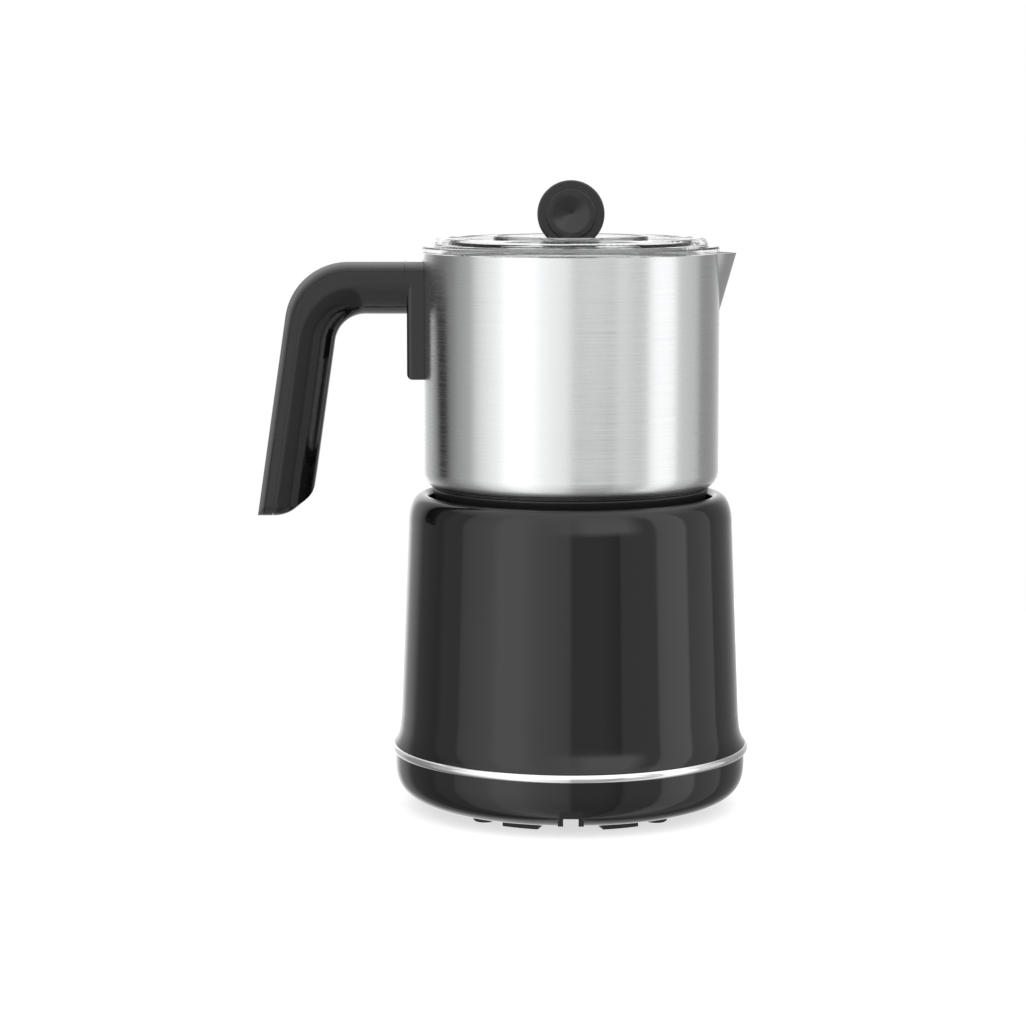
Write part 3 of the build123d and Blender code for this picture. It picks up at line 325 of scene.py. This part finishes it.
def handle_plastic(name, colour, roughness, rim):
    """Gloss plastic with a painted highlight, a paler rim along its outer edges, and a fine line
    moulded along them.
    """
    material = plastic(name, colour, roughness, wave=0.003, smear=0.03)
    tree = material.node_tree
    shader = find_node(tree, "BSDF_PRINCIPLED")
    depth, place = outline_depth(tree)
    width = spread(tree, place.outputs[2], *RIM_HEIGHTS, *RIM_WIDTHS)
    side = spread(tree, sums(tree, "ABSOLUTE", place.outputs[1]), *RIM_SIDES)
    edge = sums(tree, "SUBTRACT", 1.0, sums(tree, "DIVIDE", depth, width))
    edge = sums(tree, "POWER", sums(tree, "MAXIMUM", edge, 0.0), RIM_FADE)
    painted_highlight = sums(tree, "MULTIPLY", edge, side)
    plain = shader.inputs["Base Color"].links[0].from_socket
    # The paler rim is a painted highlight where the rounded edges catch the light
    wire(tree, shader.inputs["Base Color"], blend_colours(tree, painted_highlight, plain, rim))
    off_line = sums(tree, "ABSOLUTE", sums(tree, "SUBTRACT", depth, width))
    line = spread(tree, off_line, *LINE_EDGES, 1.0, 0.0)
    groove = put(tree, "Bump", Strength=1.0, Distance=-LINE_DEPTH, Height=line,
                 Normal=shader.inputs["Normal"].links[0].from_socket)
    wire(tree, shader.inputs["Normal"], groove.outputs[0])
    return material


METAL_SMEAR = 9 * MM
METAL_SCRATCH_ROUGHENS = 0.12
METAL_SCRATCH_DEPTH = 0.01 * MM


def metal(name, colour, roughness, tint=0.06):
    """Plain bright metal with slight tone changes, smears and scratches."""
    material, tree, shader = new_material(name, Metallic=1.0)
    smear = use(tree, moulded_skin, Smear__size=METAL_SMEAR).outputs["Smear"]
    hair = use(tree, fine_scratches).outputs["Scratch"]
    darker = toned(colour, 1 - tint * 2)
    wire(tree, shader.inputs["Base Color"], blend_colours(tree, smear, colour, darker))
    smeared = roughness * 1.5 + 0.02
    rough = spread(tree, smear, 0.0, 1.0, roughness, smeared)
    set_roughness(tree, shader, rough, hair, METAL_SCRATCH_ROUGHENS)
    bump(tree, shader, hair, -METAL_SCRATCH_DEPTH)
    return material


BRUSH_DARKER, BRUSH_PALER = 0.96, 1.03
STREAK_SHOWS = 0.5
BRUSH_LOW, BRUSH_HIGH = 0.3, 0.7
BRUSH_SMOOTHS, BRUSH_ROUGHENS = 0.07, 0.09
BRUSH_DEPTH = 0.008 * MM
STEEL_SMEAR = 25 * MM
STEEL_SMEAR_ROUGHENS = 0.02

# Distance from the axis times how far a face turns from it: inner faces lie below this
INNER_BELOW = -0.001


def brushed_steel(name, colour, roughness, inside):
    """Steel brushed round its axis, its inner faces painted a paler tone that lifts the shade
    inside the jug.

    Its reflections smear up and down.
    """
    material, tree, shader = new_material(
        name, Metallic=1.0, Anisotropic=0.8, Anisotropic__Rotation=0.25,
    )
    round_axis = put(tree, "Tangent", _direction_type="RADIAL", _axis="Z")
    wire(tree, shader.inputs["Tangent"], round_axis.outputs[0])
    brush = use(tree, round_brushing)
    smear = use(tree, moulded_skin, Smear__size=STEEL_SMEAR).outputs["Smear"]
    darker, paler = toned(colour, BRUSH_DARKER), toned(colour, BRUSH_PALER)
    ground = blend_colours(tree, brush.outputs["Line"], darker, paler)
    streaks = sums(tree, "MULTIPLY", brush.outputs["Streak"], STREAK_SHOWS)
    ground = blend_colours(tree, streaks, ground, darker)
    facing = put(tree, "NewGeometry")
    outward = put(tree, "VectorMath", _operation="MULTIPLY",
                  s0=facing.outputs["Position"], s1=(1.0, 1.0, 0.0))
    outward = put(tree, "VectorMath", _operation="DOT_PRODUCT",
                  s0=outward.outputs[0], s1=facing.outputs["Normal"])
    # Inner faces take the paler inside tone: painted light against the shade within the jug
    inner = sums(tree, "LESS_THAN", outward.outputs["Value"], INNER_BELOW)
    wire(tree, shader.inputs["Base Color"], blend_colours(tree, inner, ground, inside))
    rough = spread(tree, brush.outputs["Line"], BRUSH_LOW, BRUSH_HIGH,
                   roughness - BRUSH_SMOOTHS, roughness + BRUSH_ROUGHENS)
    set_roughness(tree, shader, rough, smear, STEEL_SMEAR_ROUGHENS)
    bump(tree, shader, brush.outputs["Line"], BRUSH_DEPTH)
    return material


CLEAR_WAVE = 20 * MM
CLEAR_WAVE_DEPTH = 0.01 * MM
CLEAR_SMEAR_ROUGHENS = 0.03
CLEAR_SCRATCH_ROUGHENS = 0.05


def clear_plastic(name, colour, roughness, bend=1.3):
    """Clear moulded plastic with a faint smear; light shines through it onto what it covers."""
    material, tree, shader = new_material(
        name, Transmission__Weight=1.0, IOR=bend, Base__Color=colour,
    )
    skin = use(tree, moulded_skin, Wave__size=CLEAR_WAVE)
    hair = use(tree, fine_scratches).outputs["Scratch"]
    smeared = roughness + CLEAR_SMEAR_ROUGHENS
    rough = spread(tree, skin.outputs["Smear"], 0.0, 1.0, roughness, smeared)
    set_roughness(tree, shader, rough, hair, CLEAR_SCRATCH_ROUGHENS)
    bump(tree, shader, skin.outputs["Wave"], CLEAR_WAVE_DEPTH)
    see_through = put(tree, "BsdfTransparent", Color=colour)
    open_to_light = put(tree, "MixShader", s0=put(tree, "LightPath").outputs["Is Shadow Ray"],
                        s1=shader.outputs[0], s2=see_through.outputs[0])
    wire(tree, find_node(tree, "OUTPUT_MATERIAL").inputs["Surface"], open_to_light.outputs[0])
    return material


GLOSS_BLACK = rgb(0.004)
finishes = {
    "housing_black": plastic("housing_gloss_black", GLOSS_BLACK, 0.05, wave=0.003, smear=0.03),
    # rim is the tone of the painted highlight along the handle's outer edges
    "handle_black": handle_plastic("handle_gloss_black", GLOSS_BLACK, 0.06, rim=rgb(0.2)),
    "collar_black": plastic("collar_satin_black", rgb(0.012), 0.35, grain=0.02),
    "knob_black": plastic("knob_gloss_black", rgb(0.011), 0.16, wave=0.001, smear=0.02),
    "dial_black": plastic("dial_gloss_black", rgb(0.014), 0.2),
    "button_grey": plastic("button_satin_grey", rgb(0.22, 0.22, 0.23), 0.35, grain=0.01),
    "chrome": metal("polished_chrome", rgb(0.80, 0.80, 0.81), 0.05, tint=0.01),
    # inside is the paler tone painted on the inner faces to lift the shade inside the jug
    "jug_steel": brushed_steel(
        "jug_brushed_steel", rgb(0.68, 0.685, 0.69), 0.27, inside=rgb(0.9)
    ),
    "clear_plastic": clear_plastic("lid_clear_plastic", rgb(0.985, 0.99, 0.99), 0.01, bend=1.22),
    "silicone": clear_plastic("seal_clear_silicone", rgb(0.97, 0.97, 0.96), 0.25),
    "black_rubber": plastic("feet_black_rubber", rgb(0.014), 0.6, grain=0.05),
    "screw_steel": metal("screw_zinc_steel", rgb(0.55, 0.55, 0.54), 0.28),
    "deck_black": plastic("deck_textured_black", rgb(0.02), 0.5, grain=0.06),
    "former_plastic": plastic("former_cream_plastic", rgb(0.60, 0.56, 0.46), 0.5, grain=0.03),
    "litz_copper": metal("coil_varnished_copper", rgb(0.60, 0.26, 0.12), 0.32, tint=0.15),
    "ferrite": plastic("ferrite_grey", rgb(0.05), 0.55, grain=0.05),
    "motor_steel": metal("motor_plain_steel", rgb(0.50), 0.3),
    "magnet_nickel": metal("magnet_nickel", rgb(0.66, 0.63, 0.58), 0.18),
    "grey_plastic": plastic("mount_grey_plastic", rgb(0.30), 0.5, grain=0.03),
    "white_plastic": plastic("carrier_white_plastic", rgb(0.70, 0.70, 0.67), 0.42, grain=0.02),
    "spring_steel": metal("spring_bright_steel", rgb(0.58), 0.22),
    "sink_aluminium": metal("sink_extruded_aluminium", rgb(0.70, 0.71, 0.72), 0.36),
    "board_green": plastic("board_green_mask", rgb(0.02, 0.13, 0.05), 0.32),
    "capacitor_plastic": plastic("capacitor_ochre", rgb(0.42, 0.25, 0.06), 0.4),
    "choke_winding": metal("choke_varnished_wire", rgb(0.55, 0.24, 0.10), 0.3, tint=0.15),
    "fan_black": plastic("fan_matt_black", rgb(0.018), 0.5, grain=0.03),
    "switch_black": plastic("switch_matt_black", rgb(0.022), 0.45),
    "light_clear": clear_plastic("light_ring_frosted", rgb(0.92, 0.95, 0.98), 0.35),
    "whisk_plastic": plastic("whisk_dark_plastic", rgb(0.03), 0.35, grain=0.01),
    "bracket_steel": metal("bracket_plain_steel", rgb(0.52), 0.34),
}

for part in frame["record"]["subparts"]:
    mesh = cad[part["node"]].data
    mesh.materials.clear()
    mesh.materials.append(finishes[part["material_slot"]])


# ---- Sensor spring -----------------------------------------------------------------------------

# The spring stands on its seat
SENSOR_X = -17.0 * MM
SPRING_LOW = 95.72 * MM
SPRING_HEIGHT = 5.9 * MM
SPRING_RADIUS = 3.2 * MM
SPRING_WIRE = 0.28 * MM
SPRING_TURNS = 4.5
SPRING_STEPS = 144
WIRE_SIDES = 12


def wire_ring(share):
    """Corners round the spring's wire, at a share of the way from its foot to its top."""
    climb = SPRING_HEIGHT / (2 * pi * SPRING_RADIUS * SPRING_TURNS)
    lean = (1 + climb ** 2) ** 0.5
    turn = 2 * pi * SPRING_TURNS * share
    corners = []
    for side in range(WIRE_SIDES):
        angle = 2 * pi * side / WIRE_SIDES
        reach = SPRING_RADIUS + SPRING_WIRE * cos(angle)
        up = SPRING_WIRE * sin(angle) / lean
        corners.append((
            SENSOR_X + reach * cos(turn) + up * climb * sin(turn),
            reach * sin(turn) - up * climb * cos(turn),
            SPRING_LOW + SPRING_HEIGHT * share + up,
        ))
    return corners


def wind_spring():
    """Coil spring that holds the temperature sensor up."""
    corners, faces = [], []
    for step in range(SPRING_STEPS + 1):
        corners += wire_ring(step / SPRING_STEPS)
    for step in range(SPRING_STEPS):
        low, high = step * WIRE_SIDES, (step + 1) * WIRE_SIDES
        for side in range(WIRE_SIDES):
            after = (side + 1) % WIRE_SIDES
            faces.append((low + side, high + side, high + after, low + after))
    last = SPRING_STEPS * WIRE_SIDES
    faces.append(tuple(range(WIRE_SIDES)))
    faces.append(tuple(last + side for side in reversed(range(WIRE_SIDES))))
    mesh = bpy.data.meshes.new("sensor_spring_coil")
    mesh.from_pydata(corners, [], faces)
    mesh.shade_smooth()
    mesh.materials.append(finishes["spring_steel"])
    spring = bpy.data.objects.new("sensor_spring_coil", mesh)
    bpy.context.collection.objects.link(spring)
    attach(spring, "base")
    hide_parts("sensor_spring")
    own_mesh(spring)


wind_spring()


# ---- Floor, light and camera -------------------------------------------------------------------

FLOOR_RADIUS = 0.55
FLOOR_CORNERS = 96
FLOOR_TONE = 0.55
FLOOR_GLOW = 0.66


def seen_directly(tree, path):
    """One for what the camera sees, also through clear plastic."""
    return sums(tree, "MAXIMUM", path.outputs["Is Camera Ray"],
                path.outputs["Is Transmission Ray"])


def make_floor():
    """Round pale table top, nearly white, with the object's soft shadow.

    Gloss and metal look past it, into the lower part of the room.
    """
    turns = [2 * pi * corner / FLOOR_CORNERS for corner in range(FLOOR_CORNERS)]
    rim = [(FLOOR_RADIUS * cos(turn), FLOOR_RADIUS * sin(turn), 0) for turn in turns]
    mesh = bpy.data.meshes.new("floor")
    mesh.from_pydata(rim, [], [tuple(range(FLOOR_CORNERS))])
    floor = bpy.data.objects.new("floor", mesh)
    bpy.context.collection.objects.link(floor)
    material = bpy.data.materials.new("floor_white")
    material.use_nodes = True
    tree = material.node_tree
    tree.nodes.clear()
    path = put(tree, "LightPath")
    matt = put(tree, "BsdfDiffuse", Color=rgb(FLOOR_TONE))
    glow = put(tree, "Emission", Color=rgb(1.0),
               Strength=sums(tree, "MULTIPLY", seen_directly(tree, path), FLOOR_GLOW))
    both = put(tree, "AddShader", s0=matt.outputs[0], s1=glow.outputs[0])
    away = put(tree, "BsdfTransparent")
    mirrored = put(tree, "MixShader", s0=path.outputs["Is Glossy Ray"],
                   s1=both.outputs[0], s2=away.outputs[0])
    put(tree, "OutputMaterial", Surface=mirrored.outputs[0])
    mesh.materials.append(material)


# Brightness round the room, by degrees from the viewer's side: minus is left, plus is right
ROOM = [
    (-180, 1.3), (-160, 1.35), (-151, 0.78), (-137, 0.62), (-128, 0.3), (-104, 0.3),
    (-97, 0.48), (-82, 0.55), (-81, 0.88), (-72, 1.12), (-57, 1.38), (-50, 1.75),
    (-35, 1.75), (-22, 1.4), (-9, 1.2), (-0.5, 1.12), (0.5, 0.62), (22, 0.62),
    (34, 0.43), (35.5, 0.78), (61.5, 0.78), (63, 1.4), (70, 1.55), (88, 1.54),
    (90, 0.84), (111, 0.75), (116, 0.74), (117.5, 0.37), (137, 0.37), (146, 0.45),
    (160, 0.7), (180, 1.3),
]

# How far a tall soft lamp covers the walls above the horizon, by the same degrees
LAMP = [(-180, 0.0), (-22, 0.0), (-6, 0.5), (6, 0.75), (12, 1.0), (41, 1.0), (54, 0.0)]

# The room's tones are half its brightness, which keeps them under 1; its strength doubles them
ROOM_STRENGTH = 2.0
LAMP_TONE = rgb(0.86)
CEILING_TONE = rgb(0.75)

# Heights are upward parts of a direction, from -1 straight down to 1 straight up
SUNK_FROM, SUNK_TO, SUNK_TONE = -0.1, -0.6, 0.74
LAMP_FROM, LAMP_TO = 0.01, 0.17
CEILING_FROM, CEILING_TO = 0.5, 0.85


def round_room(tree, turn_share, stops, times=1.0):
    """Grey that changes round the room, from stops of degrees and tones."""
    node = put(tree, "ValToRGB", s0=turn_share)
    band = node.color_ramp
    while len(band.elements) > 1:
        band.elements.remove(band.elements[0])
    placed = [((degrees + 180) / 360, rgb(tone * times)) for degrees, tone in stops]
    band.elements[0].position, band.elements[0].color = placed[0]
    for place, grey in placed[1:]:
        band.elements.new(place).color = grey
    return node.outputs[0]


def light_room():
    """White room for the camera and for clear plastic.

    Gloss, metal and matt surfaces see tall soft panels and darker gaps instead, some
    brighter and some darker than that white.
    """
    world = bpy.data.worlds.new("studio")
    bpy.context.scene.world = world
    world.use_nodes = True
    tree = world.node_tree
    tree.nodes.clear()
    way = put(tree, "SeparateXYZ", s0=put(tree, "TexCoord").outputs["Generated"])
    up = way.outputs[2]
    toward = sums(tree, "MULTIPLY", way.outputs[1], -1.0)
    turn = sums(tree, "ARCTAN2", way.outputs[0], toward)
    turn_share = sums(tree, "ADD", sums(tree, "DIVIDE", turn, 2 * pi), 0.5)
    walls = round_room(tree, turn_share, ROOM, 1 / ROOM_STRENGTH)
    sunk = spread(tree, up, SUNK_FROM, SUNK_TO, 1.0, SUNK_TONE)
    walls = put(tree, "VectorMath", _operation="SCALE", s0=walls, Scale=sunk).outputs[0]
    lamp = put(tree, "SeparateColor", Color=round_room(tree, turn_share, LAMP)).outputs[0]
    lamp = sums(tree, "MULTIPLY", lamp, spread(tree, up, LAMP_FROM, LAMP_TO))
    walls = blend_colours(tree, lamp, walls, LAMP_TONE)
    ceiling = spread(tree, up, CEILING_FROM, CEILING_TO)
    room = blend_colours(tree, ceiling, walls, CEILING_TONE)
    panels = put(tree, "Background", Color=room, Strength=ROOM_STRENGTH)
    white = put(tree, "Background", Color=rgb(1.0), Strength=1.0)
    both = put(tree, "MixShader", s0=seen_directly(tree, put(tree, "LightPath")),
               s1=panels.outputs[0], s2=white.outputs[0])
    put(tree, "OutputWorld", Surface=both.outputs[0])


CAMERA_PLACE = (-0.00935, -1.18996, 0.2592)
CAMERA_TURN = (83.057, 0.0, 0.616)
CAMERA_LENS = 108.62
CAMERA_SENSOR = 36.0
CAMERA_REACH = 50.0


def place_camera():
    """Long-lens camera a little above the object and a little to its left."""
    lens = bpy.data.cameras.new("camera")
    lens.lens = CAMERA_LENS
    lens.sensor_width = CAMERA_SENSOR
    lens.clip_end = CAMERA_REACH
    camera = bpy.data.objects.new("camera", lens)
    camera.location = CAMERA_PLACE
    camera.rotation_euler = [radians(angle) for angle in CAMERA_TURN]
    bpy.context.collection.objects.link(camera)
    bpy.context.scene.camera = camera


make_floor()
light_room()
place_camera()
bpy.context.scene.view_settings.view_transform = "Standard"
